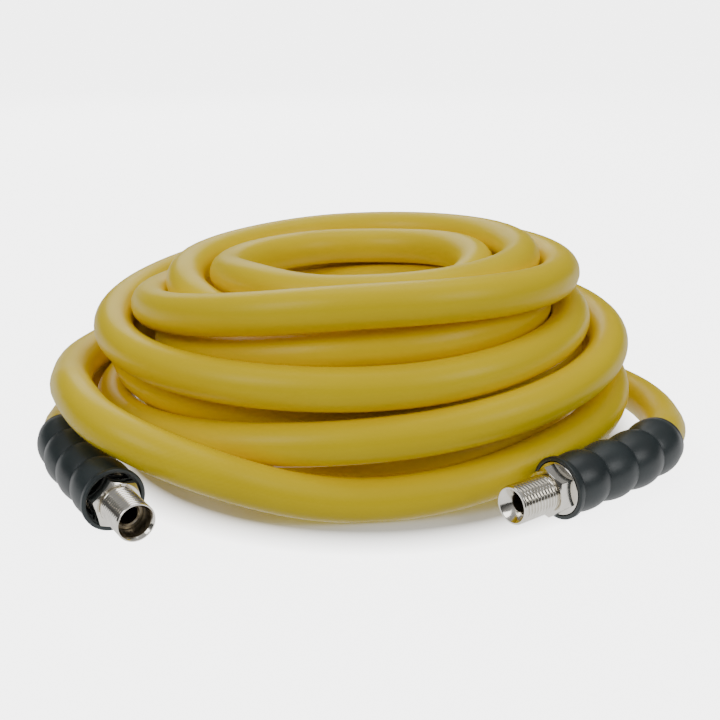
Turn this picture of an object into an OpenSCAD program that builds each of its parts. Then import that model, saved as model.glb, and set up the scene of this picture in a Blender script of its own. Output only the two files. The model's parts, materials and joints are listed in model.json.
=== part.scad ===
// Coiled rubber air hose with a bend-restrictor boot at each end,
// a rigid male stem on the right end and a swivelling male end on the left.
// Millimetres, +Z up. The origin is on the surface that the coil lies on, under the middle of
// the whole part.

/* [Hose] */
// Outside diameter of the hose
hose_d = 16; // [14:0.5:16]
// Bore of the hose
hose_bore = 9.6; // [8:0.2:10]
// Rings of points on each turn of the coil
rings_per_turn = 24; // [16:4:24]

/* [Pipe thread] */
// Diameter over the crests of the quarter-inch straight pipe thread
thread_d = 13.7; // [13:0.1:14]
// Distance from one crest to the next
thread_pitch = 1.41; // [1.2:0.01:1.5]
// Depth of the thread
thread_depth = 0.8; // [0.5:0.05:0.9]
// Number of crests on the rigid end
stem_crests = 10; // [6:1:10]
// Number of crests on the swivel end
swivel_crests = 10; // [6:1:10]

/* [Fittings] */
// Size of both hexagons across their flats
hex_across_flats = 16; // [15:0.5:16.5]
// Air passage through both stems
passage_d = 6.8; // [5:0.2:7]
// Wide bore in the mouth of the swivel body
swivel_bore_d = 10.9; // [10.5:0.1:11]
// Running clearance on the radius between the swivel body and its stem
swivel_clearance = 0.08; // [0.05:0.01:0.1]

/* [Boots] */
// Outside diameter of the flange on the front of each boot
flange_d = 22.8; // [22.6:0.1:23.4]
// Outside diameter of the boots over their bulges
boot_d = 22; // [21.4:0.2:22.4]
// Diameter in the creases between the bulges
boot_crease_d = 19.8; // [19.6:0.1:20.4]
// Number of bulges on each boot
boot_bulges = 4; // [3:1:5]
// Length of each bulge
bulge_length = 14.6; // [12:0.2:15]

/* [Hidden] */
$fn = 64;

hose_yellow = [0.95, 0.82, 0.05];
boot_black = [0.14, 0.16, 0.18];
nickel = [0.80, 0.78, 0.72];
seal_black = [0.08, 0.08, 0.08];
washer_white = [0.90, 0.90, 0.86];

hose_r = hose_d / 2;
bore_r = hose_bore / 2;
coil_sides = 6;
tail_sides = 8;
boot_sides = 16;

// Height of the hose's centre where it lies on the floor, pressed a tenth of its diameter flat.
fl = 6.4;
// Where the middle of the coil stands from the origin.
coil_at = [-1.9, 3];

// The lay of the coil, turn by turn, clockwise from above and outwards end first. Each pair is
// the reach from the coil's middle and the height of the hose's centre, at the left, back,
// right and front of the turn.
lay = [
    [[120, fl],    [113, 20],     [106, 22],     [97.5, fl]],
    [[121.5, 21],  [109.5, 36.5], [106, 39],     [94, 27.5]],
    [[105.5, 14.5],[95, 26.5],    [88, 32],      [75, 29]],
    [[98.5, 31],   [93.5, 43],    [89, 49],      [88.5, 45]],
    [[104, 47],    [90, 60],      [84, 66.5],    [78, 72]],
    [[88, 53],     [72, 48],      [72.5, 53.5],  [73.5, 54]],
    [[78.5, 38],   [54.5, 45],    [56, 51],      [54, 49.5]],
    [[74, 62],     [71.5, 67],    [67.5, 72],    [58, 70]],
    [[55.5, 64.5], [55.5, 62.5],  [49, 66.5],    [36.5, 51]],
    [[57.5, 25],   [58.5, 27.5],  [55.5, 33],    [47.5, 32.5]],
    [[78.5, 21],   [76, 27.5],    [71, 25.5],    [49, 15.5]],
    [[51, fl],     [62.5, fl],    [69.5, fl],    [65, fl]],
    [[70, fl],     [80, 7.5],     [85.5, 13.5],  [80.5, 13]],
    [[86.5, fl],   [97.5, fl],    [108.5, fl],   [115, fl]]
];
// Where the last turn leaves the coil for the right-hand tail.
turns = 13 + 10 / 24;
// The key before the first one, which sets the slope of the coil's start.
lead_in = [119, 23];
// Places where a turn is pushed aside, each the turn, half the length of the push in turns,
// and the push outwards and upwards. The outermost turn climbs over the left boot.
pushes = [[0.57, 0.08, 3, 0], [0.86, 0.105, 18, 0], [0.87, 0.115, 0, 19],
          [0.95, 0.1, 2, 8], [1.05, 0.1, -2.5, 0], [7.9, 0.12, -1.5, 2], [7.12, 0.12, -2, -0.5],
          [8.12, 0.12, -1.5, 0], [12.87, 0.12, 3, -3]];

// A fitting is where the middle of its boot's front face stands from the coil's middle, the
// heading into the boot, and how far the boot bends sideways, in degrees.
left_end = [-84.4, -107, 124, -13.8];
right_end = [69.2, -98.2, 36, 18.5];
boot_height = flange_d / 2;
// The boot is straight as far as the ferrule reaches, and bends behind that.
boot_straight = 30;
flange_thick = 2.6;
boot_length = flange_thick + 1 + boot_bulges * bulge_length;

// The hose's free stretches, from the coil to the rear of the boot.
left_route = [
    [-122.2, -28, 7],
    [-119.5, -41.5, 9.9]
];
right_route = [
    [110.2, 28.8, fl],
    [118.2, 16.3, fl],
    [124, 2.8, fl],
    [126.8, -11.5, fl],
    [126.5, -25, 6.8],
    [124.6, -37, 8.2],
    [120.9, -47.8, 10]
];

// Places along a fitting, in front of the boot's front face or behind it where negative.
stem_mouth = 22;
stem_hex = [-1, 6];
// The round collar behind the rigid end's hexagon.
collar = [-1.6, 0];
collar_r = 9.6;
collar_slope = 0.4;
swivel_mouth = 19.7;
swivel_hex = [-3.5, 4.5];
// How far the hexagons are turned from standing on a corner.
hex_turn = 12;
ferrule_front = -5.6;
ferrule_wall = 0.8;
ferrule_length = 23;
hose_end = ferrule_front - 1.2;
tail_tip = -31;
barb_r = 4.95;
neck_r = 4.65;
barb_root_r = 4.2;
barb_pitch = 3.4;
hex_chamfer = 0.8;
seat_mouth_r = 6.2;
seat_angle = 37;
relief_r = thread_d / 2 - thread_depth - 0.1;

// The swivel's stem: its head turns in the wide bore and holds the O-ring.
shoulder = 1;
washer_thick = 0.5;
head_rear = shoulder + washer_thick + 0.1;
head_front = head_rear + 11;
head_r = swivel_bore_d / 2 - swivel_clearance;
ring_section_r = 0.6;
ring_at = head_rear + 2.5;

function along(a, b, c, d, s) =
    b + 0.5 * s * ((c - a) + s * ((2*a - 5*b + 4*c - d) + s * (3*(b - c) + d - a)));
function unit(v) = v / norm(v);
function level(v) = unit([v[0], v[1], 0]);
function flat3(p, z) = [p[0] + coil_at[0], p[1] + coil_at[1], z];

// The middle of the hose, t turns along the coil.
keys = concat([lead_in], [for (turn = lay) each turn]);
function push(t, axis) = [for (p = pushes)
    abs(t - p[0]) < p[1] ? p[2 + axis] * pow(cos(90 * (t - p[0]) / p[1]), 2) : 0];
function total(list, i = 0) = i == len(list) ? 0 : list[i] + total(list, i + 1);
function keyed(t, axis) =
    let (i = floor(4 * t), s = 4 * t - i)
    along(keys[i][axis], keys[i + 1][axis], keys[i + 2][axis], keys[i + 3][axis], s)
        + total(push(t, axis));
function coil_point(t) =
    flat3(keyed(t, 0) * [cos(180 - 360 * t), sin(180 - 360 * t)], keyed(t, 1));
coil_middle = [for (i = [0:round(turns * rings_per_turn)]) coil_point(i / rings_per_turn)];

// The coil runs straight for one diameter at each end, where a tail meets it.
last = len(coil_middle) - 1;
coil_start = coil_middle[0] - hose_d * level(coil_middle[1] - coil_middle[0]);
coil_end = coil_middle[last] + hose_d * unit(coil_middle[last] - coil_middle[last - 1]);
coil_path = concat([coil_start], coil_middle, [coil_end]);

// A point on a fitting's axis, the distance s behind the boot's front face.
function heading(end, s) =
    end[2] + end[3] * max(0, s - boot_straight) / (boot_length - boot_straight);
function bent(end, s, steps = 8) =
    total2([for (i = [0:steps - 1])
        let (a = heading(end, boot_straight + (s - boot_straight) * (i + 0.5) / steps))
        [cos(a), sin(a)] * (s - boot_straight) / steps]);
function total2(list, i = 0) = i == len(list) ? [0, 0] : list[i] + total2(list, i + 1);
function axis_at(end, s) =
    let (start = [end[0], end[1]], ahead = [cos(end[2]), sin(end[2])])
    flat3(s <= boot_straight ? start + s * ahead
                             : start + boot_straight * ahead + bent(end, s), boot_height);
function axis_way(end, s) = [cos(heading(end, s)), sin(heading(end, s)), 0];

function placed(route) = [for (p = route) flat3(p, p[2])];
inside_boot = [boot_length, 54, 46, 38, 30, 14, -hose_end];
// Each tail runs on straight from the coil's end for a little, so that the faces where they
// meet lie in one plane.
tail_lead = 3;
left_path = concat(
    [coil_start, coil_start - tail_lead * level(coil_middle[1] - coil_middle[0])],
    placed(left_route), [for (s = inside_boot) axis_at(left_end, s)]);
right_path = concat(
    [coil_end, coil_end + tail_lead * unit(coil_middle[last] - coil_middle[last - 1])],
    placed(right_route), [for (s = inside_boot) axis_at(right_end, s)]);

// Rings of points round a path, flat side down and never under the floor.
function way(path, i) =
    unit(path[min(i + 1, len(path) - 1)] - path[max(i - 1, 0)]);
function ring(middle, ahead, r, sides) =
    let (side = unit(cross([0, 0, 1], ahead)), up = cross(ahead, side))
    [for (k = [0:sides - 1])
        let (a = 270 + (k + 0.5) * 360 / sides, p = middle + r * (cos(a) * side + sin(a) * up))
        [p[0], p[1], max(p[2], 0)]];
function rings(path, r, sides) =
    [for (i = [0:len(path) - 1]) ring(path[i], way(path, i), r, sides)];

// A closed skin over rings of points outside and inside, with triangles throughout.
module sleeve(outer, inner, sides) {
    first_in = len(outer) * sides;
    out_end = (len(outer) - 1) * sides;
    in_end = first_in + (len(inner) - 1) * sides;
    function quad(a, b, c, d) = [[a, b, c], [a, c, d]];
    function wall(base, count, flip) = [for (i = [0:count - 2], k = [0:sides - 1])
        let (n = (k + 1) % sides, a = base + i * sides, b = a + sides)
        each (flip ? quad(a + k, b + k, b + n, a + n) : quad(a + k, a + n, b + n, b + k))];
    function cap(o, i, flip) = [for (k = [0:sides - 1])
        let (n = (k + 1) % sides)
        each (flip ? quad(o + k, o + n, i + n, i + k) : quad(o + k, i + k, i + n, o + n))];
    polyhedron(
        points = concat([for (r = outer) each r], [for (r = inner) each r]),
        faces = concat(wall(0, len(outer), false), wall(first_in, len(inner), true),
                       cap(0, first_in, false), cap(out_end, in_end, true)),
        convexity = 20);
}

module hose(path, sides) {
    color(hose_yellow)
        sleeve(rings(path, hose_r, sides), rings(path, bore_r / cos(180 / sides), sides), sides);
}

module hose_coil() {
    hose(coil_path, coil_sides);
}
module left_hose_tail() {
    hose(left_path, tail_sides);
}
module right_hose_tail() {
    hose(right_path, tail_sides);
}

// The boot: a flange, then bulges with creases between them, the last closing on the hose.
crease_r = boot_crease_d / 2;
bulge_steps = [0, 0.1, 0.3, 0.5, 0.7, 0.9];
function bulge_r(f) = crease_r + (boot_d / 2 - crease_r) * sqrt(sin(180 * f));
boot_outside = concat(
    [[0, boot_height - 0.4], [0.4, boot_height], [flange_thick, boot_height],
     [flange_thick + 0.4, crease_r]],
    [for (b = [0:boot_bulges - 1], f = bulge_steps)
        [flange_thick + 1 + (b + f) * bulge_length,
         b == boot_bulges - 1 && f == 0.9 ? crease_r - 0.2 : bulge_r(f)]],
    [[boot_length, hose_r + 0.9]]);
boot_grip_r = hose_r + 0.05;
ferrule_pocket_r = hose_r + 0.95;
front_pocket_r = 10.1;
boot_inside = [[0, front_pocket_r], [5.2, front_pocket_r], [5.3, ferrule_pocket_r],
               [29.5, ferrule_pocket_r], [31, boot_grip_r], [40, boot_grip_r], [50, boot_grip_r],
               [boot_length, boot_grip_r]];
module boot(end) {
    color(boot_black)
        sleeve([for (p = boot_outside)
                    ring(axis_at(end, p[0]), axis_way(end, p[0]), p[1], boot_sides)],
               [for (p = boot_inside)
                    ring(axis_at(end, p[0]), axis_way(end, p[0]), p[1], boot_sides)],
               boot_sides);
}
module left_boot() {
    boot(left_end);
}
module right_boot() {
    boot(right_end);
}

// Stands a piece on a fitting's axis, its +Z out of the mouth.
module on_axis(end) {
    translate(flat3([end[0], end[1]], boot_height))
        rotate([0, 0, end[2] + 180])
            rotate([0, 90, 0])
                children();
}

// A turned piece from its outline of [height, radius] pairs.
module turned(outline) {
    rotate_extrude()
        polygon(concat([[0, outline[0][0]]], [for (p = outline) [p[1], p[0]]],
                       [[0, outline[len(outline) - 1][0]]]));
}

// Ridges of the pipe thread, crest by crest, up to the mouth.
module thread(mouth, crests) {
    crest_flat = 0.24;
    flank = (thread_pitch - 2 * crest_flat) / 2;
    root_r = thread_d / 2 - thread_depth;
    bottom = mouth - crests * thread_pitch - 0.6;
    turned(concat(
        [[bottom, root_r]],
        [for (i = [0:crests - 1], step = [0:3])
            [bottom + i * thread_pitch + [0, flank, flank + crest_flat, 2 * flank + crest_flat][step],
             step == 1 || step == 2 ? thread_d / 2 : root_r]],
        [[bottom + crests * thread_pitch, root_r], [mouth - 0.3, root_r], [mouth - 0.3, 6.5],
         [mouth, 6.3]]));
}

module hexagon(low, high) {
    corner_r = hex_across_flats / 2 / cos(30);
    face_r = hex_across_flats / 2 - 0.2;
    intersection() {
        translate([0, 0, low])
            rotate([0, 0, hex_turn])
                cylinder(r = corner_r, h = high - low, $fn = 6);
        turned([[low, face_r], [low + hex_chamfer, corner_r + 0.1],
                [high - hex_chamfer, corner_r + 0.1], [high, face_r]]);
    }
}

// The plain neck that holds the ferrule's flange, and the barbs that the hose goes over.
module barbed_tail(top) {
    barbs = floor((hose_end - 2 - tail_tip) / barb_pitch);
    turned(concat(
        [[tail_tip, barb_root_r - 0.3]],
        [for (i = [0:barbs - 1], step = [0:1])
            [tail_tip + 0.4 + i * barb_pitch + step * (barb_pitch - 0.5),
             step == 0 ? barb_root_r : barb_r]],
        [[hose_end - 2, barb_root_r], [ferrule_front, barb_root_r], [ferrule_front, neck_r],
         [top, neck_r]]));
}

module ferrule(end) {
    inner_r = hose_r + 0.05;
    outer_r = inner_r + ferrule_wall;
    rear = ferrule_front - ferrule_length;
    color(nickel)
        on_axis(end)
            difference() {
                turned([[rear, outer_r - 0.2], [rear + 0.3, outer_r], [-24, outer_r],
                        [-23.5, outer_r - 0.25], [-20.5, outer_r - 0.25], [-20, outer_r],
                        [-17.5, outer_r], [-17, outer_r - 0.25], [-14, outer_r - 0.25],
                        [-13.5, outer_r], [-11, outer_r], [-10.5, outer_r - 0.25],
                        [-8, outer_r - 0.25], [-7.5, outer_r], [ferrule_front - 0.4, outer_r],
                        [ferrule_front, outer_r - 0.6]]);
                translate([0, 0, rear - 1])
                    cylinder(r = inner_r, h = hose_end - rear + 1);
                translate([0, 0, rear])
                    cylinder(r = barb_root_r + 0.1, h = ferrule_length + 1);
            }
}
module left_ferrule() {
    ferrule(left_end);
}
module right_ferrule() {
    ferrule(right_end);
}

module right_stem() {
    seat_depth = (seat_mouth_r - passage_d / 2) / tan(seat_angle);
    color(nickel)
        on_axis(right_end)
            difference() {
                union() {
                    thread(stem_mouth, stem_crests);
                    hexagon(stem_hex[0], stem_hex[1]);
                    turned([[collar[0], collar_r - 0.2], [collar[0] + 0.2, collar_r],
                            [collar[1], collar_r],
                            [collar[1] + collar_slope, hex_across_flats / 2 - 0.3]]);
                    translate([0, 0, stem_hex[1] - 1])
                        cylinder(r = relief_r, h = 4);
                    barbed_tail(0);
                }
                translate([0, 0, tail_tip - 1])
                    cylinder(d = passage_d, h = stem_mouth - tail_tip + 2);
                translate([0, 0, stem_mouth - seat_depth])
                    cylinder(d1 = passage_d, r2 = seat_mouth_r, h = seat_depth);
            }
}

module left_swivel_body() {
    mouth_chamfer = seat_mouth_r - swivel_bore_d / 2;
    color(nickel)
        on_axis(left_end)
            difference() {
                union() {
                    thread(swivel_mouth, swivel_crests);
                    hexagon(swivel_hex[0], swivel_hex[1]);
                    translate([0, 0, swivel_hex[1] - 1])
                        cylinder(r = relief_r, h = 4);
                }
                translate([0, 0, shoulder])
                    cylinder(d = swivel_bore_d, h = swivel_mouth);
                translate([0, 0, swivel_hex[0] - 1])
                    cylinder(r = neck_r + swivel_clearance, h = shoulder - swivel_hex[0] + 2);
                translate([0, 0, swivel_mouth - mouth_chamfer])
                    cylinder(d1 = swivel_bore_d, r2 = seat_mouth_r, h = mouth_chamfer);
            }
}

module left_swivel_stem() {
    groove = ring_section_r + 0.1;
    color(nickel)
        on_axis(left_end)
            difference() {
                union() {
                    barbed_tail(head_rear);
                    turned([[head_rear, head_r], [head_front - 0.4, head_r],
                            [head_front, head_r - 0.4]]);
                }
                translate([0, 0, tail_tip - 1])
                    cylinder(d = passage_d, h = head_front - tail_tip + 2);
                translate([0, 0, ring_at - groove])
                    difference() {
                        cylinder(r = head_r + 1, h = 2 * groove);
                        cylinder(r = head_r - 2 * ring_section_r, h = 2 * groove);
                    }
            }
}

module left_swivel_o_ring() {
    color(seal_black)
        on_axis(left_end)
            translate([0, 0, ring_at])
                rotate_extrude()
                    translate([head_r - ring_section_r, 0])
                        circle(r = ring_section_r);
}

module left_thrust_washer() {
    color(washer_white)
        on_axis(left_end)
            translate([0, 0, head_rear - washer_thick])
                difference() {
                    cylinder(r = head_r, h = washer_thick);
                    translate([0, 0, -1])
                        cylinder(r = neck_r + 0.05, h = washer_thick + 2);
                }
}

// The least distance between two stretches of hose, less their diameter.
function nearest(a, b) = min([for (p = a, q = b) norm(p - q)]);
turn_gap = min([for (i = [0:last], j = [i + 12:last]) norm(coil_middle[i] - coil_middle[j])]) - hose_d;
left_gap = nearest([for (i = [6:last]) coil_middle[i]], left_path) - hose_d;
right_gap = nearest([for (i = [0:last - 6]) coil_middle[i]], right_path) - hose_d;
boot_reach = boot_height + hose_r;
left_boot_gap = nearest(coil_middle, [for (s = [0:2:boot_length]) axis_at(left_end, s)]) - boot_reach;
right_boot_gap = nearest(coil_middle, [for (s = [0:2:boot_length]) axis_at(right_end, s)]) - boot_reach;
coil_length = total([for (i = [1:last]) norm(coil_middle[i] - coil_middle[i - 1])]);
echo(gap_between_turns = turn_gap, gap_to_left_tail = left_gap, gap_to_right_tail = right_gap);
echo(gap_to_left_boot = left_boot_gap, gap_to_right_boot = right_boot_gap);
echo(length_of_coil = coil_length);

hose_coil();
left_hose_tail();
right_hose_tail();
left_boot();
right_boot();
left_ferrule();
right_ferrule();
right_stem();
left_swivel_body();
left_swivel_stem();
left_swivel_o_ring();
left_thrust_washer();
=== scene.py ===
"""Dresses the coiled air hose: its rubber cover, bend-restrictor boots and nickel-plated ends."""

import json
import logging
import math
from dataclasses import dataclass, field
from enum import Enum
from typing import Callable, NamedTuple, Sequence

import bpy
from mathutils import Matrix, Vector

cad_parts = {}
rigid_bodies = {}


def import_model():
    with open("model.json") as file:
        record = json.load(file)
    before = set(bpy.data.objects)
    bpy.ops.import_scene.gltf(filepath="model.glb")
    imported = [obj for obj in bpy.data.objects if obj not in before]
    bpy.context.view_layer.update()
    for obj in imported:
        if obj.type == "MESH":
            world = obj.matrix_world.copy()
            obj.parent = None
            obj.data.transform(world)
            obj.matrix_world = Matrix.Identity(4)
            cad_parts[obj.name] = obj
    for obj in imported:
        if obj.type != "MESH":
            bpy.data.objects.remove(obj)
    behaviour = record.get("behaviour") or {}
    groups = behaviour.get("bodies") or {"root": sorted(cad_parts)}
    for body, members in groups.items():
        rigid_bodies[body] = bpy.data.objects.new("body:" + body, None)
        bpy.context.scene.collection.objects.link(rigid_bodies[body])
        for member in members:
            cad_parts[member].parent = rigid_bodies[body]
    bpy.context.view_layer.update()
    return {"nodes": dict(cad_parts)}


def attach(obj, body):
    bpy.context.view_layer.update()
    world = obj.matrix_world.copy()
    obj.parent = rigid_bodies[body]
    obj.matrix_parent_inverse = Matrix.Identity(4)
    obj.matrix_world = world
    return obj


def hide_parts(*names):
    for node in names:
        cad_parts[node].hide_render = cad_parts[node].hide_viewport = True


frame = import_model()

LOG = logging.getLogger("air_hose")
MM = 0.001
Pair = tuple[float, float]
Triple = tuple[float, float, float]

# Height of the hose's centre where it lies on the floor, pressed a tenth of its diameter flat,
# and of the fittings' axes, in millimetres.
FLOOR_Z = 6.4
AXIS_Z = 11.4
# Where the coil's middle stands, in millimetres.
COIL_AT = (-1.9, 3.0)
# How near points are welded along an outline and at a turned piece's seam, in metres.
OUTLINE_WELD = 1e-7
SEAM_WELD = 1e-6


class Seat(NamedTuple):
    """Where a boot's front face is in millimetres, and its heading and bend in degrees."""

    x: float
    y: float
    heading: float
    bend: float


class End(Enum):
    """The two ends of the hose, each with its boot's seat, reckoned from the coil's middle."""

    LEFT = Seat(-84.4, -107.0, 124.0, -13.8)
    RIGHT = Seat(69.2, -98.2, 36.0, 18.5)


# ---------------------------------------------------------------- small modelling helpers


def deselect() -> None:
    """Leaves every object unselected and the scene in object mode."""
    if bpy.context.object and bpy.context.object.mode != "OBJECT":
        bpy.ops.object.mode_set(mode="OBJECT")
    for obj in bpy.context.view_layer.objects:
        obj.select_set(False)


def activate(obj: bpy.types.Object) -> bpy.types.Object:
    """Selects one object alone and makes it active.

    Args:
        obj: The object to work on.

    Returns:
        The same object.
    """
    deselect()
    obj.select_set(True)
    bpy.context.view_layer.objects.active = obj
    return obj


def apply_all(obj: bpy.types.Object) -> None:
    """Applies every modifier of an object in order.

    Args:
        obj: The object whose modifiers become mesh.
    """
    activate(obj)
    for modifier in list(obj.modifiers):
        bpy.ops.object.modifier_apply(modifier=modifier.name)


def smooth(obj: bpy.types.Object, degrees: float = 32.0) -> None:
    """Shades an object smooth where its faces meet at a small angle.

    Args:
        obj: The object to shade.
        degrees: The largest angle that is still smooth.
    """
    activate(obj)
    bpy.ops.object.shade_smooth_by_angle(angle=math.radians(degrees))


def place(obj: bpy.types.Object, matrix: Matrix) -> None:
    """Moves an object's mesh to its place and leaves the object at the origin.

    Args:
        obj: The object to place.
        matrix: Where its own origin and axes go.
    """
    activate(obj)
    obj.matrix_world = matrix
    bpy.ops.object.transform_apply(location=True, rotation=True, scale=True)


def turned(name: str, outline: Sequence[Pair], steps: int = 72) -> bpy.types.Object:
    """Turns an outline round the Z axis into a closed piece.

    Args:
        name: The new object's name.
        outline: Height and radius pairs in millimetres. It closes back to the first pair,
            unless an end of it is on the axis.
        steps: How many faces go round.

    Returns:
        The turned object, with its axis on Z.
    """
    spots = [(radius * MM, 0.0, height * MM) for height, radius in outline]
    if outline[0][1] > 0 and outline[-1][1] > 0:
        spots.append(spots[0])
    deselect()
    bpy.ops.mesh.primitive_plane_add(size=MM, location=(0.0, 0.0, 0.0))
    obj = bpy.context.object
    obj.name = name
    bpy.ops.object.mode_set(mode="EDIT")
    bpy.ops.mesh.merge(type="CENTER")
    bpy.ops.transform.translate(value=spots[0])
    for here, there in zip(spots, spots[1:]):
        step = tuple(b - a for a, b in zip(here, there))
        bpy.ops.mesh.extrude_region_move(TRANSFORM_OT_translate={"value": step})
    bpy.ops.mesh.select_all(action="SELECT")
    bpy.ops.mesh.remove_doubles(threshold=OUTLINE_WELD)
    bpy.ops.mesh.select_all(action="SELECT")
    bpy.ops.mesh.spin(steps=steps, angle=2 * math.pi, center=(0, 0, 0), axis=(0, 0, 1))
    bpy.ops.mesh.select_all(action="SELECT")
    bpy.ops.mesh.remove_doubles(threshold=SEAM_WELD)
    bpy.ops.mesh.normals_make_consistent(inside=False)
    bpy.ops.object.mode_set(mode="OBJECT")
    return obj


def shape(obj: bpy.types.Object, move: Callable[[Vector], Vector]) -> None:
    """Moves every point of a mesh by a rule.

    Args:
        obj: The object to shape.
        move: Gives a point's new place, in metres.
    """
    for vertex in obj.data.vertices:
        vertex.co = move(vertex.co)
    obj.data.update()


def combine(obj: bpy.types.Object, other: bpy.types.Object, operation: str) -> None:
    """Joins, cuts or crosses one closed piece with another, which is then removed.

    Args:
        obj: The piece that is kept.
        other: The piece that is used up.
        operation: UNION, DIFFERENCE or INTERSECT.
    """
    boolean = obj.modifiers.new("shape", "BOOLEAN")
    boolean.operation = operation
    boolean.solver = "EXACT"
    boolean.object = other
    apply_all(obj)
    bpy.data.objects.remove(other)


# ---------------------------------------------------------------- finishes


class Finish:
    """A procedural surface finish that any number of pieces share."""

    name: str = "finish"

    def __init__(self) -> None:
        """Starts with no material made."""
        self._material: bpy.types.Material | None = None

    def material(self) -> bpy.types.Material:
        """Makes the finish's material on first use.

        Returns:
            The material.
        """
        if self._material is None:
            made = bpy.data.materials.new(self.name)
            made.use_nodes = True
            self.wire(made.node_tree, made.node_tree.nodes["Principled BSDF"])
            self._material = made
        return self._material

    def wire(self, tree: bpy.types.NodeTree, shader: bpy.types.Node) -> None:
        """Adds the finish's own nodes.

        Args:
            tree: The material's node tree.
            shader: Its surface shader.
        """
        raise NotImplementedError

    def dress(self, *pieces: bpy.types.Object) -> None:
        """Puts the finish on pieces.

        Args:
            pieces: The objects to dress.
        """
        for piece in pieces:
            piece.data.materials.clear()
            piece.data.materials.append(self.material())


def noise(tree: bpy.types.NodeTree, source: bpy.types.NodeSocket, scale: float,
          detail: float = 3.0) -> bpy.types.NodeSocket:
    """Adds a noise pattern.

    Args:
        tree: The node tree.
        source: The coordinates that it is drawn on.
        scale: Its scale, in waves per metre.
        detail: How many finer layers it has.

    Returns:
        The pattern's value.
    """
    node = tree.nodes.new("ShaderNodeTexNoise")
    node.inputs["Scale"].default_value = scale
    node.inputs["Detail"].default_value = detail
    tree.links.new(source, node.inputs["Vector"])
    return node.outputs["Fac"]


def ranged(tree: bpy.types.NodeTree, value: bpy.types.NodeSocket, low: float, high: float,
           start: float = 0.3, stop: float = 0.7) -> bpy.types.NodeSocket:
    """Maps a value from one range to another.

    Args:
        tree: The node tree.
        value: The value to map.
        low: The result at the start.
        high: The result at the stop.
        start: Where the value's range starts.
        stop: Where it stops.

    Returns:
        The mapped value.
    """
    node = tree.nodes.new("ShaderNodeMapRange")
    node.inputs["From Min"].default_value = start
    node.inputs["From Max"].default_value = stop
    node.inputs["To Min"].default_value = low
    node.inputs["To Max"].default_value = high
    tree.links.new(value, node.inputs["Value"])
    return node.outputs["Result"]


def blend_colours(tree: bpy.types.NodeTree, factor: bpy.types.NodeSocket,
                  first: Triple | bpy.types.NodeSocket, second: Triple) -> bpy.types.NodeSocket:
    """Mixes two colours by a value.

    Args:
        tree: The node tree.
        factor: 0 for the first colour and 1 for the second.
        first: A linear colour, or the socket that gives it.
        second: Another linear colour.

    Returns:
        The mixed colour.
    """
    node = tree.nodes.new("ShaderNodeMix")
    node.data_type = "RGBA"
    if isinstance(first, bpy.types.NodeSocket):
        tree.links.new(first, node.inputs["A"])
    else:
        node.inputs["A"].default_value = (*first, 1.0)
    node.inputs["B"].default_value = (*second, 1.0)
    tree.links.new(factor, node.inputs["Factor"])
    return node.outputs["Result"]


def relief(tree: bpy.types.NodeTree, height: bpy.types.NodeSocket, depth: float,
           strength: float, below: bpy.types.NodeSocket | None = None) -> bpy.types.NodeSocket:
    """Adds a bump to the surface.

    Args:
        tree: The node tree.
        height: The bump's pattern.
        depth: Its depth in metres.
        strength: From 0 to 1.
        below: Another bump's normal that this one lies on.

    Returns:
        The bumped normal.
    """
    node = tree.nodes.new("ShaderNodeBump")
    node.inputs["Distance"].default_value = depth
    node.inputs["Strength"].default_value = strength
    tree.links.new(height, node.inputs["Height"])
    if below is not None:
        tree.links.new(below, node.inputs["Normal"])
    return node.outputs["Normal"]


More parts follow.
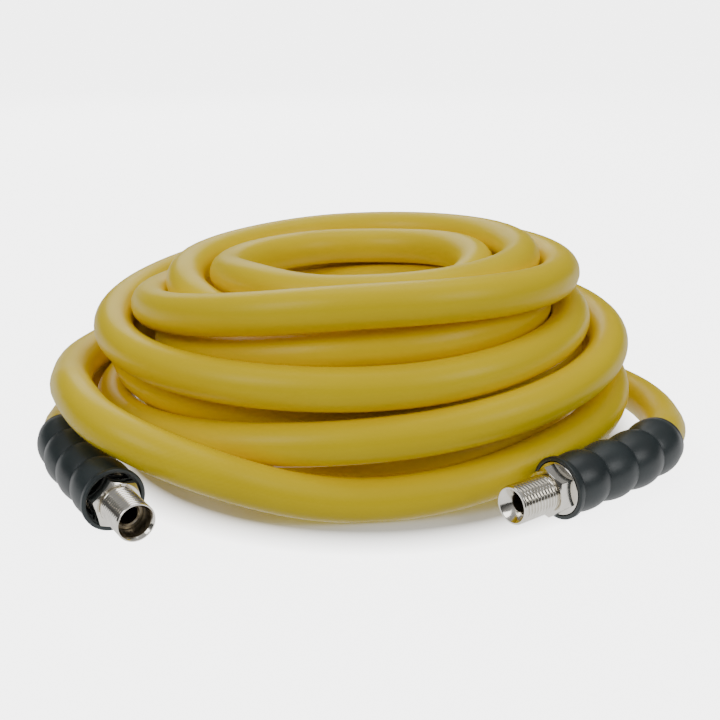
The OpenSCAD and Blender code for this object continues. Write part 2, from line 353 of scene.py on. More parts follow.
class HoseRubber(Finish):
    """Satin yellow extruded cover, with faint drag lines, a fine grain and the braid's imprint.

    The braid's lay length and the distance round the cover are in metres.
    """

    name = "hose_rubber"
    light: Triple = (0.98, 0.735, 0.0)
    deep: Triple = (0.93, 0.68, 0.0)
    drag_stretch: Triple = (0.012, 1.0, 1.0)
    strands: int = 22
    lay_length: float = 0.0026
    around: float = math.pi * 0.016

    def wire(self, tree: bpy.types.NodeTree, shader: bpy.types.Node) -> None:
        """Adds the cover's colour, gloss and grain.

        Args:
            tree: The material's node tree.
            shader: Its surface shader.
        """
        coords = tree.nodes.new("ShaderNodeTexCoord")
        lengthwise = tree.nodes.new("ShaderNodeMapping")
        lengthwise.inputs["Scale"].default_value = self.drag_stretch
        tree.links.new(coords.outputs["UV"], lengthwise.inputs["Vector"])
        drag = noise(tree, lengthwise.outputs["Vector"], scale=900.0, detail=2.0)
        patches = noise(tree, coords.outputs["Object"], scale=26.0, detail=4.0)
        grain = noise(tree, coords.outputs["Object"], scale=2600.0, detail=2.0)
        imprint = self.braid(tree, coords.outputs["UV"])
        colour = blend_colours(tree, ranged(tree, patches, 0.0, 1.0), self.light, self.deep)
        tree.links.new(colour, shader.inputs["Base Color"])
        tree.links.new(ranged(tree, patches, low=0.33, high=0.43), shader.inputs["Roughness"])
        normal = relief(tree, grain, depth=0.00003, strength=0.35)
        normal = relief(tree, drag, depth=0.00004, strength=0.3, below=normal)
        normal = relief(tree, imprint, depth=0.00003, strength=0.35, below=normal)
        tree.links.new(normal, shader.inputs["Normal"])
        shader.inputs["Specular IOR Level"].default_value = 0.3

    def braid(self, tree: bpy.types.NodeTree,
              flat: bpy.types.NodeSocket) -> bpy.types.NodeSocket:
        """Draws the faint imprint of the braid under the cover, two sets of crossed ridges.

        Args:
            tree: The material's node tree.
            flat: The cover laid out flat, in metres.

        Returns:
            The imprint's height.
        """
        waves = []
        full = 2 * math.pi
        for side in (-1.0, 1.0):
            across = tree.nodes.new("ShaderNodeVectorMath")
            across.operation = "DOT_PRODUCT"
            across.inputs[1].default_value = (side * full / self.lay_length,
                                              full * self.strands / self.around, 0.0)
            tree.links.new(flat, across.inputs[0])
            wave = tree.nodes.new("ShaderNodeMath")
            wave.operation = "SINE"
            tree.links.new(across.outputs["Value"], wave.inputs[0])
            waves.append(wave.outputs["Value"])
        crossed = tree.nodes.new("ShaderNodeMath")
        crossed.operation = "MAXIMUM"
        for wave, socket in zip(waves, crossed.inputs):
            tree.links.new(wave, socket)
        return crossed.outputs["Value"]


class BootRubber(Finish):
    """Satin black moulded rubber with a fine even grain."""

    name = "boot_rubber"
    deep: Triple = (0.017, 0.025, 0.027)
    light: Triple = (0.028, 0.042, 0.045)

    def wire(self, tree: bpy.types.NodeTree, shader: bpy.types.Node) -> None:
        """Adds the boot's colour, gloss and grain.

        Args:
            tree: The material's node tree.
            shader: Its surface shader.
        """
        coords = tree.nodes.new("ShaderNodeTexCoord")
        patches = noise(tree, coords.outputs["Object"], scale=60.0, detail=5.0)
        grain = noise(tree, coords.outputs["Object"], scale=3200.0, detail=3.0)
        colour = blend_colours(tree, ranged(tree, patches, 0.0, 1.0), self.deep, self.light)
        tree.links.new(colour, shader.inputs["Base Color"])
        tree.links.new(ranged(tree, patches, low=0.34, high=0.46), shader.inputs["Roughness"])
        tree.links.new(relief(tree, grain, depth=0.00004, strength=0.4), shader.inputs["Normal"])
        shader.inputs["Specular IOR Level"].default_value = 0.6


class NickelPlate(Finish):
    """Bright nickel plate on turned brass, thin and dull in the bore, where a point marked as
    bore takes a dark brass brown that is partly bare brass and partly painted shade.
    """

    name = "nickel_plate"
    light: Triple = (0.83, 0.8, 0.73)
    deep: Triple = (0.73, 0.7, 0.63)
    bore_brass_and_shade: Triple = (0.2, 0.165, 0.11)

    def wire(self, tree: bpy.types.NodeTree, shader: bpy.types.Node) -> None:
        """Adds the plate's colour, gloss and faint haze.

        Args:
            tree: The material's node tree.
            shader: Its surface shader.
        """
        coords = tree.nodes.new("ShaderNodeTexCoord")
        inside = tree.nodes.new("ShaderNodeAttribute")
        inside.attribute_name = "bore"
        depth = inside.outputs["Fac"]
        haze = noise(tree, coords.outputs["Object"], scale=240.0, detail=3.0)
        plate = blend_colours(tree, ranged(tree, haze, 0.0, 1.0), self.light, self.deep)
        # painted shade: points inside the bore take a dark brass brown in place of the plate
        tree.links.new(blend_colours(tree, depth, plate, self.bore_brass_and_shade),
                       shader.inputs["Base Color"])
        tree.links.new(ranged(tree, depth, low=0.16, high=0.42, start=0.0, stop=1.0),
                       shader.inputs["Roughness"])
        tree.links.new(relief(tree, haze, depth=0.000004, strength=0.2),
                       shader.inputs["Normal"])
        shader.inputs["Metallic"].default_value = 1.0


class SealRubber(Finish):
    """Smooth black seal rubber with a trace of grease."""

    name = "seal_rubber"

    def wire(self, tree: bpy.types.NodeTree, shader: bpy.types.Node) -> None:
        """Adds the seal's gloss.

        Args:
            tree: The material's node tree.
            shader: Its surface shader.
        """
        coords = tree.nodes.new("ShaderNodeTexCoord")
        smear = noise(tree, coords.outputs["Object"], scale=500.0, detail=3.0)
        tree.links.new(ranged(tree, smear, low=0.2, high=0.5), shader.inputs["Roughness"])
        shader.inputs["Base Color"].default_value = (0.01, 0.01, 0.011, 1.0)


class WasherPlastic(Finish):
    """Off-white machined plastic."""

    name = "washer_plastic"
    light: Triple = (0.72, 0.71, 0.66)
    deep: Triple = (0.62, 0.61, 0.56)

    def wire(self, tree: bpy.types.NodeTree, shader: bpy.types.Node) -> None:
        """Adds the washer's colour and gloss.

        Args:
            tree: The material's node tree.
            shader: Its surface shader.
        """
        coords = tree.nodes.new("ShaderNodeTexCoord")
        tone = noise(tree, coords.outputs["Object"], scale=700.0, detail=2.0)
        colour = blend_colours(tree, tone, self.light, self.deep)
        tree.links.new(colour, shader.inputs["Base Color"])
        shader.inputs["Roughness"].default_value = 0.45


class StudioPaper(Finish):
    """The plain pale sweep that the hose lies on, with a painted shadow under the coil.

    Its glow rises from the painted shade to lit between the two distances of its edge, in metres
    from the origin.
    """

    name = "studio_paper"
    painted_shade: float = 0.05
    lit: float = 4.4
    edge: Pair = (0.105, 0.122)

    def wire(self, tree: bpy.types.NodeTree, shader: bpy.types.Node) -> None:
        """Adds the paper's colour and glow, with the painted shadow under the coil.

        Args:
            tree: The material's node tree.
            shader: Its surface shader.
        """
        shader.inputs["Base Color"].default_value = (0.9, 0.9, 0.9, 1.0)
        shader.inputs["Emission Color"].default_value = (1.0, 1.0, 1.0, 1.0)
        coords = tree.nodes.new("ShaderNodeTexCoord")
        reach = tree.nodes.new("ShaderNodeVectorMath")
        reach.operation = "LENGTH"
        tree.links.new(coords.outputs["Object"], reach.inputs[0])
        # painted shadow: the glow is dimmed under the coil and fades in round its edge
        tree.links.new(ranged(tree, reach.outputs["Value"], self.painted_shade, self.lit, *self.edge),
                       shader.inputs["Emission Strength"])
        shader.inputs["Roughness"].default_value = 0.9
        shader.inputs["Specular IOR Level"].default_value = 0.1


class BounceCard(Finish):
    """A softly glowing card, seen only in reflections."""

    name = "bounce_card"
    glow: float = 1.3

    def wire(self, tree: bpy.types.NodeTree, shader: bpy.types.Node) -> None:
        """Adds the card's glow.

        Args:
            tree: The material's node tree, not used here.
            shader: Its surface shader.
        """
        shader.inputs["Base Color"].default_value = (0.0, 0.0, 0.0, 1.0)
        shader.inputs["Emission Color"].default_value = (1.0, 1.0, 1.0, 1.0)
        shader.inputs["Emission Strength"].default_value = self.glow
        shader.inputs["Specular IOR Level"].default_value = 0.0


# ---------------------------------------------------------------- the fittings' axes


@dataclass(frozen=True)
class BootAxis:
    """The line that a boot and its fitting lie on, straight in front and bent behind.

    Its lengths are millimetres behind the boot's front face.
    """

    end: End
    straight: float = 30.0
    length: float = 62.0
    steps: int = 8

    def heading(self, reach: float) -> float:
        """Returns the heading in degrees at a distance behind the boot's front face."""
        share = max(0.0, reach - self.straight) / (self.length - self.straight)
        return self.end.value.heading + self.end.value.bend * share

    def point(self, reach: float) -> Vector:
        """Gives a point on the line.

        Args:
            reach: Millimetres behind the boot's front face, negative in front.

        Returns:
            The point, in metres.
        """
        seat = self.end.value
        first = math.radians(seat.heading)
        ahead = Vector((math.cos(first), math.sin(first)))
        spot = Vector((seat.x + COIL_AT[0], seat.y + COIL_AT[1]))
        spot += min(reach, self.straight) * ahead
        over = max(0.0, reach - self.straight)
        for step in range(self.steps if over > 0 else 0):
            turn = math.radians(self.heading(self.straight + over * (step + 0.5) / self.steps))
            spot += Vector((math.cos(turn), math.sin(turn))) * over / self.steps
        return Vector((spot.x, spot.y, AXIS_Z)) * MM

    def frame_at(self, reach: float) -> Matrix:
        """Gives the axes at a point on the line, Z towards the mouth and X down.

        Args:
            reach: Millimetres behind the boot's front face.

        Returns:
            The matrix from those axes to the world's.
        """
        turn = math.radians(self.heading(reach) + 180.0)
        out = Vector((math.cos(turn), math.sin(turn), 0.0))
        down = Vector((0.0, 0.0, -1.0))
        side = out.cross(down)
        spot = self.point(reach)
        return Matrix((
            (down.x, side.x, out.x, spot.x),
            (down.y, side.y, out.y, spot.y),
            (down.z, side.z, out.z, spot.z),
            (0.0, 0.0, 0.0, 1.0)))


# ---------------------------------------------------------------- the hose


@dataclass
class CoiledHose:
    """The whole hose, from inside the left boot round the coil and into the right boot.

    Its sizes are in millimetres, apart from its real length, which is in metres.
    """

    diameter: float = 16.0
    real_length: float = 6.9
    sides: int = 28
    rings_per_diameter: float = 2.2
    # How high the flattened underside lies, so that it is never in the floor's own plane.
    underside: float = 0.02
    points_per_turn: int = 24
    turns: float = 13 + 10 / 24
    # The lay of the coil, turn by turn, clockwise from above and outwards end first. Each pair
    # is the reach from the coil's middle and the height of the hose's centre, at the left,
    # back, right and front of the turn. The lead-in is the pair before the first.
    lead_in: Pair = (119, 23)
    lay: tuple[tuple[Pair, ...], ...] = (
        ((120, FLOOR_Z), (113, 20), (106, 22), (97.5, FLOOR_Z)),
        ((121.5, 21), (109.5, 36.5), (106, 39), (94, 27.5)),
        ((105.5, 14.5), (95, 26.5), (88, 32), (75, 29)),
        ((98.5, 31), (93.5, 43), (89, 49), (88.5, 45)),
        ((104, 47), (90, 60), (84, 66.5), (78, 72)),
        ((88, 53), (72, 48), (72.5, 53.5), (73.5, 54)),
        ((78.5, 38), (54.5, 45), (56, 51), (54, 49.5)),
        ((74, 62), (71.5, 67), (67.5, 72), (58, 70)),
        ((55.5, 64.5), (55.5, 62.5), (49, 66.5), (36.5, 51)),
        ((57.5, 25), (58.5, 27.5), (55.5, 33), (47.5, 32.5)),
        ((78.5, 21), (76, 27.5), (71, 25.5), (49, 15.5)),
        ((51, FLOOR_Z), (62.5, FLOOR_Z), (69.5, FLOOR_Z), (65, FLOOR_Z)),
        ((70, FLOOR_Z), (80, 7.5), (85.5, 13.5), (80.5, 13)),
        ((86.5, FLOOR_Z), (97.5, FLOOR_Z), (108.5, FLOOR_Z), (115, FLOOR_Z)),
    )
    # Where turns give way to each other: at which turn, over what share of one to each side, and
    # how far outwards and upwards.
    pushes: tuple[tuple[float, float, float, float], ...] = (
        (0.57, 0.08, 3, 0), (0.86, 0.105, 18, 0), (0.87, 0.115, 0, 19), (0.95, 0.1, 2, 8),
        (1.05, 0.1, -2.5, 0), (7.9, 0.12, -1.5, 2), (7.12, 0.12, -2, -0.5),
        (8.12, 0.12, -1.5, 0), (12.87, 0.12, 3, -3))
    # The tails, by points from the coil's middle, then by distances behind a boot's front face.
    left_route: tuple[Triple, ...] = ((-122.2, -28, 7), (-119.5, -41.5, 9.9))
    right_route: tuple[Triple, ...] = (
        (110.2, 28.8, FLOOR_Z), (118.2, 16.3, FLOOR_Z), (124, 2.8, FLOOR_Z),
        (126.8, -11.5, FLOOR_Z), (126.5, -25, 6.8), (124.6, -37, 8.2), (120.9, -47.8, 10))
    inside_boot: tuple[float, ...] = (62.0, 54.0, 46.0, 38.0, 30.0, 14.0, 6.8)
    piece: bpy.types.Object | None = field(default=None, init=False)
    line: list[Vector] = field(default_factory=list, init=False)
    length: float = field(default=0.0, init=False)

    @staticmethod
    def along(a: float, b: float, c: float, d: float, s: float) -> float:
        """Returns the value s of the way from b to c on the curve through a, b, c and d."""
        return b + 0.5 * s * ((c - a) + s * ((2 * a - 5 * b + 4 * c - d)
                                             + s * (3 * (b - c) + d - a)))

    def coil_point(self, turn: float) -> Vector:
        """Gives the hose's centre in the coil.

        Args:
            turn: How many turns along the coil.

        Returns:
            The point, in millimetres.
        """
        keys = [self.lead_in] + [pair for row in self.lay for pair in row]
        slack = 1e-9  # keeps a whole quarter of a turn from being rounded down
        first = math.floor(4 * turn + slack)
        s = 4 * turn - first
        reach, height = (
            self.along(*(keys[first + k][axis] for k in range(4)), s) for axis in (0, 1))
        for centre, half, outwards, upwards in self.pushes:
            if abs(turn - centre) < half:
                share = math.cos(math.pi / 2 * (turn - centre) / half) ** 2
                reach += outwards * share
                height += upwards * share
        angle = math.pi - 2 * math.pi * turn
        return Vector((reach * math.cos(angle) + COIL_AT[0],
                       reach * math.sin(angle) + COIL_AT[1], height))

    def route(self) -> list[Vector]:
        """Works out the hose's centreline, from the left fitting to the right one.

        Returns:
            Its points, in metres.
        """
        count = round(self.turns * self.points_per_turn)
        coil = [self.coil_point(i / self.points_per_turn) for i in range(count + 1)]
        back = coil[0] - coil[1]
        back.z = 0.0
        start = coil[0] + back.normalized() * self.diameter
        stop = coil[-1] + (coil[-1] - coil[-2]).normalized() * self.diameter
        left_axis, right_axis = BootAxis(End.LEFT), BootAxis(End.RIGHT)
        spots = [left_axis.point(s) / MM for s in reversed(self.inside_boot)]
        spots += [self.shifted(p) for p in reversed(self.left_route)]
        spots += [start, *coil, stop]
        spots += [self.shifted(p) for p in self.right_route]
        spots += [right_axis.point(s) / MM for s in self.inside_boot]
        return [p * MM for p in self.rounded(spots)]

    @staticmethod
    def shifted(spot: Triple) -> Vector:
        """Returns a point that is given from the coil's middle, from the origin."""
        return Vector((spot[0] + COIL_AT[0], spot[1] + COIL_AT[1], spot[2]))

    def rounded(self, spots: list[Vector]) -> list[Vector]:
        """Fills in a smooth curve between points.

        Args:
            spots: The points that the curve goes through.

        Returns:
            Those points with more between them.
        """
        line = [spots[0]]
        for i in range(len(spots) - 1):
            a, b = spots[max(i - 1, 0)], spots[i]
            c, d = spots[i + 1], spots[min(i + 2, len(spots) - 1)]
            span = (c - b).length
            lead = (c - a).normalized() * span if i else (c - b)
            tail = (d - b).normalized() * span if i + 2 < len(spots) else (c - b)
            pieces = max(2, round(span / (self.diameter / self.rings_per_diameter)))
            for k in range(1, pieces + 1):
                s = k / pieces
                line.append(b * (2 * s**3 - 3 * s**2 + 1) + lead * (s**3 - 2 * s**2 + s)
                            + c * (3 * s**2 - 2 * s**3) + tail * (s**3 - s**2))
        return line

    def build(self) -> bpy.types.Object:
        """Makes the hose as one round tube with closed ends.

        Returns:
            The hose.
        """
        line = self.route()
        radius = self.diameter / 2 * MM
        points: list[Vector] = []
        marks: list[float] = []
        travelled = 0.0
        for i, spot in enumerate(line):
            ahead = (line[min(i + 1, len(line) - 1)] - line[max(i - 1, 0)]).normalized()
            side = Vector((0.0, 0.0, 1.0)).cross(ahead).normalized()
            up = ahead.cross(side)
            travelled += (spot - line[i - 1]).length if i else 0.0
            marks.append(travelled)
            for k in range(self.sides):
                turn = 2 * math.pi * (k + 0.5) / self.sides - math.pi / 2
                rim = spot + radius * (math.cos(turn) * side + math.sin(turn) * up)
                rim.z = max(rim.z, self.underside * MM)
                points.append(rim)
        faces = [
            (i * self.sides + k, i * self.sides + (k + 1) % self.sides,
             (i + 1) * self.sides + (k + 1) % self.sides, (i + 1) * self.sides + k)
            for i in range(len(line) - 1) for k in range(self.sides)]
        faces.append(tuple(reversed(range(self.sides))))
        faces.append(tuple(range((len(line) - 1) * self.sides, len(line) * self.sides)))
        mesh = bpy.data.meshes.new("yellow_hose")
        mesh.from_pydata([tuple(p) for p in points], [], faces)
        self.lay_out(mesh, marks)
        self.piece = bpy.data.objects.new("yellow_hose", mesh)
        bpy.context.scene.collection.objects.link(self.piece)
        for face in mesh.polygons:
            face.use_smooth = len(face.vertices) == 4
        self.line, self.length = line, travelled
        return self.piece

    def lay_out(self, mesh: bpy.types.Mesh, marks: list[float]) -> None:
        """Lays the mesh out flat, lengthwise and round, in metres.

        Args:
            mesh: The hose's mesh.
            marks: How far along the hose each ring is.
        """
        around = math.pi * self.diameter * MM
        layer = mesh.uv_layers.new(name="cover")
        for face in mesh.polygons:
            ks = [mesh.loops[i].vertex_index % self.sides for i in face.loop_indices]
            wraps = len(face.vertices) == 4 and 0 in ks and self.sides - 1 in ks
            for loop, k in zip(face.loop_indices, ks):
                ring = mesh.loops[loop].vertex_index // self.sides
                share = (k + (self.sides if wraps and k == 0 else 0)) / self.sides
                layer.data[loop].uv = (marks[ring], share * around)

    def declare(self) -> None:
        """Puts the hose on its body and hides the pieces of model.glb that it stands in for.
        """
        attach(self.piece, "hose")
        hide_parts("hose_coil", "left_hose_tail", "right_hose_tail")


# ---------------------------------------------------------------- the boots


@dataclass
class BendBoot:
    """A moulded rubber boot with a flange, bulges and a pocket for the hexagon.

    Its sizes are radii in millimetres, apart from the flange's thickness, the counts and a
    bulge's shape: the share of its length before its crest, and how soon it swells and sinks.
    """

    end: End
    flange: float = 11.4
    flange_thick: float = 2.1
    crest: float = 11.0
    crease: float = 9.45
    cuff: float = 10.2
    bulges: int = 4
    rings: int = 22
    rise: float = 0.56
    swelling: float = 0.8
    sinking: float = 0.72
    pocket: float = 9.9
    ferrule_room: float = 8.95
    grip: float = 8.04

    def swell(self, share: float) -> float:
        """Gives a bulge's shape.

        Args:
            share: How far along the bulge, from 0 to 1.

        Returns:
            How far it stands out there, from 0 to 1.
        """
        if share < self.rise:
            return math.sin(math.pi / 2 * share / self.rise) ** self.swelling
        past = (share - self.rise) / (1.0 - self.rise)
        return max(0.0, math.cos(math.pi / 2 * past)) ** self.sinking

    def outline(self) -> list[Pair]:
        """Works out the boot's outline, outside and then inside.

        Returns:
            Distances behind its front face and radii.
        """
        edge, thick, rear = self.flange, self.flange_thick, BootAxis.length
        pairs: list[Pair] = [
            (0.0, edge - 0.5), (0.08, edge - 0.2), (0.3, edge), (thick - 0.3, edge),
            (thick - 0.08, edge - 0.1), (thick, edge - 0.35),
            (thick + 0.1, self.crease + 0.3), (thick + 0.3, self.crease)]
        start = thick + 0.6
        length = (rear - start) / self.bulges
        for number in range(self.bulges):
            for step in range(self.rings):
                share = step / self.rings
                radius = self.crease + (self.crest - self.crease) * self.swell(share)
                if number == self.bulges - 1 and share > self.rise:
                    radius = max(radius, self.cuff)
                pairs.append((start + (number + share) * length, radius))
        return pairs + [
            (rear - 0.2, self.cuff - 0.15), (rear, self.cuff - 0.55), (rear, self.grip + 0.31),
            (rear - 0.3, self.grip), (50.0, self.grip), (40.0, self.grip), (31.0, self.grip),
            (29.5, self.ferrule_room), (5.3, self.ferrule_room), (5.2, self.pocket),
            (0.35, self.pocket), (0.1, self.pocket + 0.1), (0.0, self.pocket + 0.35)]

    def build(self) -> bpy.types.Object:
        """Turns the boot straight, then bends it along its axis.

        Returns:
            The boot.
        """
        label = f"{self.end.name.lower()}_bend_boot"
        boot = turned(label, [(-s, r) for s, r in self.outline()], steps=80)
        axis = BootAxis(self.end)

        def onto_axis(point: Vector) -> Vector:
            """Returns a point's place once the boot is bent."""
            return axis.frame_at(-point.z / MM) @ Vector((point.x, point.y, 0.0))

        shape(boot, onto_axis)
        smooth(boot, degrees=38.0)
        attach(boot, "hose")
        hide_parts(f"{self.end.name.lower()}_boot")
        return boot


# ---------------------------------------------------------------- the fittings


@dataclass(frozen=True)
class PipeThread:
    """A quarter-inch pipe thread on a turned blank, from its undercut to the fitting's mouth.

    Its depth is that of a groove, and a tooth's flat and flank are shares of half its pitch.
    """

    low: float
    mouth: float
    major: float = 6.85
    depth: float = 0.86
    pitch: float = 1.41
    undercut: float = 5.95
    flat: float = 0.28
    flank: float = 0.64
    run_in: float = 0.5
    run_out: float = 0.35
    rings_per_pitch: int = 10

    @property
    def high(self) -> float:
        """Returns the height where the thread stops."""
        return self.mouth - 0.45

    def blank(self) -> list[Pair]:
        """Works out the blank's outline, in rings fine enough to be cut.

        Returns:
            Heights and radii, from the undercut to the rounded lip.
        """
        span = self.high - self.low
        count = round(span / self.pitch * self.rings_per_pitch)
        return [(self.low - 0.5, self.undercut), (self.low - 0.1, self.undercut + 0.35),
                *((self.low + span * k / count, self.major) for k in range(count + 1)),
                (self.mouth - 0.16, self.major - 0.1), (self.mouth - 0.04, self.major - 0.2),
                (self.mouth, self.major - 0.35)]

    def cut(self, piece: bpy.types.Object) -> None:
        """Cuts the thread as a helix into the blank's outside.

        Args:
            piece: The turned blank, with its axis on Z.
        """
        def cut_point(point: Vector) -> Vector:
            """Moves a point into the groove.

            Args:
                point: A point of the blank.

            Returns:
                Its place once the thread is cut.
            """
            height = point.z / MM
            radius = math.hypot(point.x, point.y) / MM
            if radius < self.major - 0.02 or not self.low < height < self.high:
                return point
            turn = math.atan2(point.y, point.x) / (2 * math.pi)
            phase = (height / self.pitch - turn) % 1.0
            groove = min(1.0, max(0.0, (abs(2 * phase - 1) - self.flat) / self.flank))
            fade = min(1.0, (height - self.low) / self.run_in,
                       (self.high - height) / self.run_out)
            new = radius - self.depth * groove * fade
            return Vector((point.x * new / radius, point.y * new / radius, point.z))

        shape(piece, cut_point)


@dataclass(frozen=True)
class BarbedTail:
    """The tail that the hose goes over, from its tip to the neck that holds the ferrule."""

    passage: float = 3.4
    tip: float = -30.8
    taper: float = 0.4
    root: float = 4.2
    crest: float = 4.9
    barbs: int = 6
    pitch: float = 3.4
    front: float = -5.6
    neck: float = 4.65

    def outline(self) -> list[Pair]:
        """Works out the tail's outline.

        Returns:
            Heights and radii, from the passage at its tip forwards.
        """
        first = self.tip + self.taper
        pairs = [(self.tip, self.passage), (self.tip, self.root - 0.3), (first, self.root)]
        for barb in range(self.barbs):
            foot = first + barb * self.pitch
            pairs += [(foot + 0.05, self.root), (foot + 2.9, self.crest),
                      (foot + 3.0, self.root)]
        return pairs + [(self.front, self.root), (self.front, self.neck)]


@dataclass(frozen=True)
class Hexagon:
    """A chamfered hexagon for a spanner, round the Z axis."""

    name: str
    low: float
    high: float
    across: float = 16.0
    chamfer: float = 0.8
    rounding: float = 0.25
    # Degrees that it is turned from standing on a corner, and that a new block is from it.
    turn: float = 12.0
    block_turn: float = 30.0

    def build(self) -> bpy.types.Object:
        """Makes the hexagon.

        Returns:
            The hexagon, with its axis on Z.
        """
        low, high = self.low, self.high
        corner = self.across / 2 / math.cos(math.pi / 6)
        face, clear = self.across / 2 - 0.2, corner + 0.02
        deselect()
        bpy.ops.mesh.primitive_cylinder_add(
            vertices=6, radius=corner * MM, depth=(high - low) * MM,
            location=(0.0, 0.0, (low + high) / 2 * MM))
        block = bpy.context.object
        block.name = self.name
        place(block, block.matrix_world.copy())
        bevel = block.modifiers.new("edges", "BEVEL")
        bevel.width = self.rounding * MM
        bevel.segments = 2
        bevel.limit_method = "ANGLE"
        apply_all(block)
        crown = turned(self.name + "_crown", [
            (low, 0.0), (low, face), (low + self.chamfer, clear), (high - self.chamfer, clear),
            (high, face), (high, 0.0)], steps=96)
        combine(block, crown, "INTERSECT")
        place(block, Matrix.Rotation(math.radians(self.turn + self.block_turn), 4, "Z"))
        return block


def mark_bore(piece: bpy.types.Object, radius: float, mouth: float) -> None:
    """Marks the points inside a fitting's bore, where the finish paints shade.

    Args:
        piece: The fitting, with its axis on Z.
        radius: The bore's radius, in millimetres.
        mouth: The height where the bore opens.
    """
    layer = piece.data.attributes.new("bore", "FLOAT", "POINT")
    for point, vertex in zip(layer.data, piece.data.vertices):
        reach = math.hypot(vertex.co.x, vertex.co.y) / MM
        point.value = 1.0 if reach < radius + 0.02 and vertex.co.z / MM < mouth - 0.1 else 0.0


def stand(piece: bpy.types.Object, end: End) -> None:
    """Stands a fitting on its boot's axis and shades it.

    Args:
        piece: The fitting, with its axis on Z.
        end: The end of the hose that it is on.
    """
    place(piece, BootAxis(end).frame_at(0.0))
    smooth(piece, degrees=28.0)


@dataclass
class RigidEnd:
    """The rigid male fitting: hexagon, pipe thread, cone seat and barbed tail."""

    mouth: float = 22.0
    hex_low: float = -1.0
    hex_high: float = 6.0
    collar_low: float = -1.6
    collar_radius: float = 9.6
    hub_radius: float = 7.7
    cone_radius: float = 5.95
    cone_depth: float = 3.6
    tail: BarbedTail = BarbedTail()

    def build(self) -> bpy.types.Object:
        """Makes the fitting on the right boot's axis.

        Returns:
            The fitting.
        """
        thread = PipeThread(low=self.hex_high + 1.0, mouth=self.mouth)
        step, passage = self.hex_high - 1.0, self.tail.passage
        outline = [
            *self.tail.outline(), (step, self.tail.neck), (step, thread.undercut),
            *thread.blank(), (self.mouth, self.cone_radius + 0.15),
            (self.mouth - 0.08, self.cone_radius),
            (self.mouth - self.cone_depth, passage + 0.12),
            (self.mouth - self.cone_depth - 0.2, passage)]
        body = turned("right_male_end", outline, steps=96)
        thread.cut(body)
        combine(body, self.drilled_hexagon(), "UNION")
        mark_bore(body, passage, self.mouth)
        stand(body, End.RIGHT)
        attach(body, "hose")
        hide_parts("right_stem")
        return body

    def drilled_hexagon(self) -> bpy.types.Object:
        """Makes the hexagon on its round collar, with room for the fitting bored out.

        Returns:
            The hexagon, with its axis on Z.
        """
        block = Hexagon("right_hexagon", self.hex_low, self.hex_high).build()
        low, edge, hub = self.collar_low, self.collar_radius, self.hub_radius
        collar = turned("right_collar", [
            (low, 0.0), (low, edge - 0.2), (low + 0.2, edge), (-0.1, edge), (0.0, edge - 0.1),
            (0.4, hub), (0.4, 0.0)], steps=96)
        combine(block, collar, "UNION")
        drill = turned("right_drill", [
            (-8.0, 0.0), (-8.0, 4.0), (12.0, 4.0), (12.0, 0.0)], steps=64)
        combine(block, drill, "DIFFERENCE")
        return block


@dataclass
class SwivelEnd:
    """The swivelling male fitting: its body turns on the head of a barbed stem."""

    mouth: float = 19.7
    hex_low: float = -3.5
    hex_high: float = 4.5
    bore: float = 5.45
    shoulder: float = 1.0
    neck: float = 4.73
    running_gap: float = 0.08
    head_rear: float = 1.6
    head_front: float = 12.6
    groove: Pair = (1.8, 3.2)
    groove_depth: float = 1.2
    tail: BarbedTail = BarbedTail()

    def build_body(self) -> bpy.types.Object:
        """Makes the body that turns.

        Returns:
            The body.
        """
        thread = PipeThread(low=self.hex_high + 0.8, mouth=self.mouth)
        rear = self.hex_low + 0.6
        outline = [
            (rear, self.neck), (rear, 5.9), *thread.blank(), (self.mouth - 0.04, 6.3),
            (self.mouth - 1.0, self.bore + 0.06), (self.mouth - 1.15, self.bore),
            (self.shoulder, self.bore), (self.shoulder, self.neck)]
        body = turned("left_swivel_nut", outline, steps=96)
        thread.cut(body)
        block = Hexagon("left_hexagon", self.hex_low, self.hex_high).build()
        drill = turned("left_drill", [
            (-8.0, 0.0), (-8.0, self.neck), (self.shoulder, self.neck),
            (self.shoulder, self.bore), (12.0, self.bore), (12.0, 0.0)], steps=96)
        combine(block, drill, "DIFFERENCE")
        combine(body, block, "UNION")
        mark_bore(body, self.bore, self.mouth - 1.0)
        stand(body, End.LEFT)
        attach(body, "left_swivel")
        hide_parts("left_swivel_body")
        return body

    def build_stem(self) -> bpy.types.Object:
        """Makes the stem that the body turns on.

        Returns:
            The stem.
        """
        rear, front, head = self.head_rear, self.head_front, self.bore - self.running_gap
        passage, floor = self.tail.passage, head - self.groove_depth
        groove_rear, groove_front = (rear + reach for reach in self.groove)
        outline = [
            *self.tail.outline(), (rear, self.tail.neck), (rear, head), (groove_rear, head),
            (groove_rear, floor), (groove_front, floor), (groove_front, head),
            (front - 0.5, head), (front - 0.12, head - 0.12), (front, head - 0.45),
            (front, 4.1), (front - 0.5, 3.6), (front - 1.2, passage)]
        stem = turned("left_swivel_core", outline, steps=80)
        mark_bore(stem, passage, front - 0.4)
        stand(stem, End.LEFT)
        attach(stem, "hose")
        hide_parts("left_swivel_stem")
        return stem


# ---------------------------------------------------------------- the studio


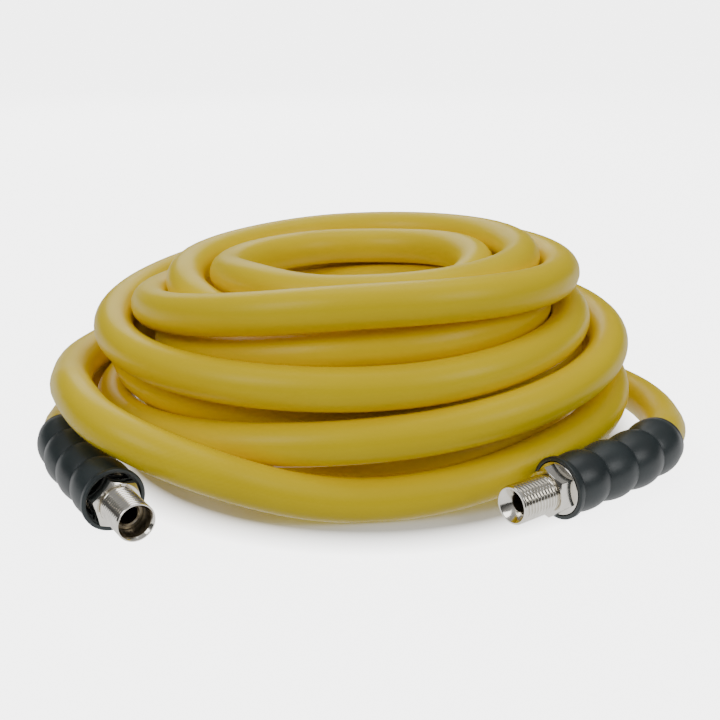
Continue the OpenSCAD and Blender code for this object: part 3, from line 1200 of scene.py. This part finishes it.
@dataclass
class Studio:
    """The camera, the pale sweep and the soft lights, in metres, degrees and watts.

    The lens is in millimetres. The room's stops give its brightness by height, from straight
    down at 0 to straight up at 1. A box is a name, a place, a width and a power.
    """

    lens: float = 51.5
    eye: Triple = (COIL_AT[0] * MM, COIL_AT[1] * MM - 0.424, 0.17536)
    tilt: float = 19.6
    aim: Triple = (0.0, 0.0, 0.03)
    sheet_size: float = 80.0
    floor_height: float = -0.0001
    card_height: float = -0.0002
    room: tuple[Pair, ...] = (
        (0.0, 0.42), (0.47, 0.42), (0.5, 0.03), (0.6, 0.06), (0.8, 0.3), (1.0, 0.5))
    boxes: tuple[tuple[str, Triple, float, float], ...] = (
        ("key_box", (-0.75, -0.75, 0.95), 0.6, 4.6),
        ("fill_box", (0.85, -0.6, 0.7), 0.5, 2.9),
        ("top_box", (0.1, 0.35, 1.3), 0.8, 2.6),
        ("back_box", (-0.25, 1.2, 0.75), 0.9, 5.0))

    def set_camera(self) -> None:
        """Stands the camera in front of the coil and tilts it down."""
        data = bpy.data.cameras.new("camera")
        data.lens = self.lens
        data.sensor_width = 36.0
        data.clip_start = 0.01
        data.clip_end = 50.0
        camera = bpy.data.objects.new("camera", data)
        camera.location = self.eye
        camera.rotation_euler = (math.radians(90.0 - self.tilt), 0.0, 0.0)
        bpy.context.scene.collection.objects.link(camera)
        bpy.context.scene.camera = camera

    def lay_floor(self) -> None:
        """Lays the paper sweep, and under it the card that shines up at the plated ends."""
        floor = self.sheet("paper_sweep", self.floor_height, StudioPaper())
        floor.visible_glossy = False
        card = self.sheet("bounce_card", self.card_height, BounceCard())
        card.visible_camera = False

    def sheet(self, name: str, height: float, finish: Finish) -> bpy.types.Object:
        """Lays a wide flat sheet.

        Args:
            name: Its name.
            height: Its height in metres.
            finish: What it is made of.

        Returns:
            The sheet.
        """
        deselect()
        bpy.ops.mesh.primitive_plane_add(size=self.sheet_size, location=(0.0, 0.0, height))
        laid = bpy.context.object
        laid.name = name
        finish.dress(laid)
        laid.visible_diffuse = False
        return laid

    def light(self) -> None:
        """Hangs the large soft boxes and lights the room, darkest near the horizon."""
        world = bpy.data.worlds.new("room")
        world.use_nodes = True
        tree = world.node_tree
        coords = tree.nodes.new("ShaderNodeTexCoord")
        parts = tree.nodes.new("ShaderNodeSeparateXYZ")
        ramp = tree.nodes.new("ShaderNodeValToRGB")
        tree.links.new(coords.outputs["Generated"], parts.inputs["Vector"])
        share = ranged(tree, parts.outputs["Z"], low=0.0, high=1.0, start=-1.0, stop=1.0)
        tree.links.new(share, ramp.inputs["Fac"])
        self.set_stops(ramp.color_ramp, self.room)
        tree.links.new(ramp.outputs["Color"], tree.nodes["Background"].inputs["Color"])
        bpy.context.scene.world = world
        for box in self.boxes:
            self.soft_box(*box)

    @staticmethod
    def set_stops(ramp: bpy.types.ColorRamp, stops: Sequence[Pair]) -> None:
        """Sets a ramp's grey stops.

        Args:
            ramp: The ramp.
            stops: Each stop's place and brightness.
        """
        while len(ramp.elements) < len(stops):
            ramp.elements.new(1.0)
        for element, (place_at, tone) in zip(ramp.elements, stops):
            element.position = place_at
            element.color = (tone, tone, tone, 1.0)

    def soft_box(self, name: str, spot: Triple, size: float, power: float) -> None:
        """Hangs one soft box that faces the coil.

        Args:
            name: The light's name.
            spot: Where it hangs, in metres.
            size: Its width.
            power: Its power in watts.
        """
        data = bpy.data.lights.new(name, "AREA")
        data.shape = "SQUARE"
        data.size = size
        data.energy = power
        box = bpy.data.objects.new(name, data)
        box.location = spot
        beam = Vector(self.aim) - Vector(spot)
        box.rotation_euler = beam.to_track_quat("-Z", "Y").to_euler()
        bpy.context.scene.collection.objects.link(box)


def report(*pieces: bpy.types.Object) -> None:
    """Logs each piece by name, with its number of faces."""
    for piece in pieces:
        LOG.info("%s: %d faces", piece.name, len(piece.data.polygons))


def main() -> None:
    """Builds and dresses every piece in order."""
    logging.basicConfig(level=logging.INFO, format="%(name)s: %(message)s")
    studio = Studio()
    studio.set_camera()
    hose = CoiledHose()
    HoseRubber().dress(hose.build())
    LOG.info("%s: %.2f m in %d rings", hose.piece.name, hose.length, len(hose.line))
    boots = {end: BendBoot(end).build() for end in End}
    BootRubber().dress(*boots.values())
    report(*boots.values())
    swivel = SwivelEnd()
    rigid, swivel_body, swivel_stem = RigidEnd().build(), swivel.build_body(), swivel.build_stem()
    nodes = frame["nodes"]
    plated = (rigid, swivel_body, swivel_stem, nodes["left_ferrule"], nodes["right_ferrule"])
    NickelPlate().dress(*plated)
    SealRubber().dress(nodes["left_swivel_o_ring"])
    WasherPlastic().dress(nodes["left_thrust_washer"])
    report(*plated, nodes["left_swivel_o_ring"], nodes["left_thrust_washer"])
    hose.declare()
    studio.lay_floor()
    studio.light()
    LOG.info("studio: a floor, a card and %d soft boxes", len(studio.boxes))


if __name__ == "__main__":
    main()
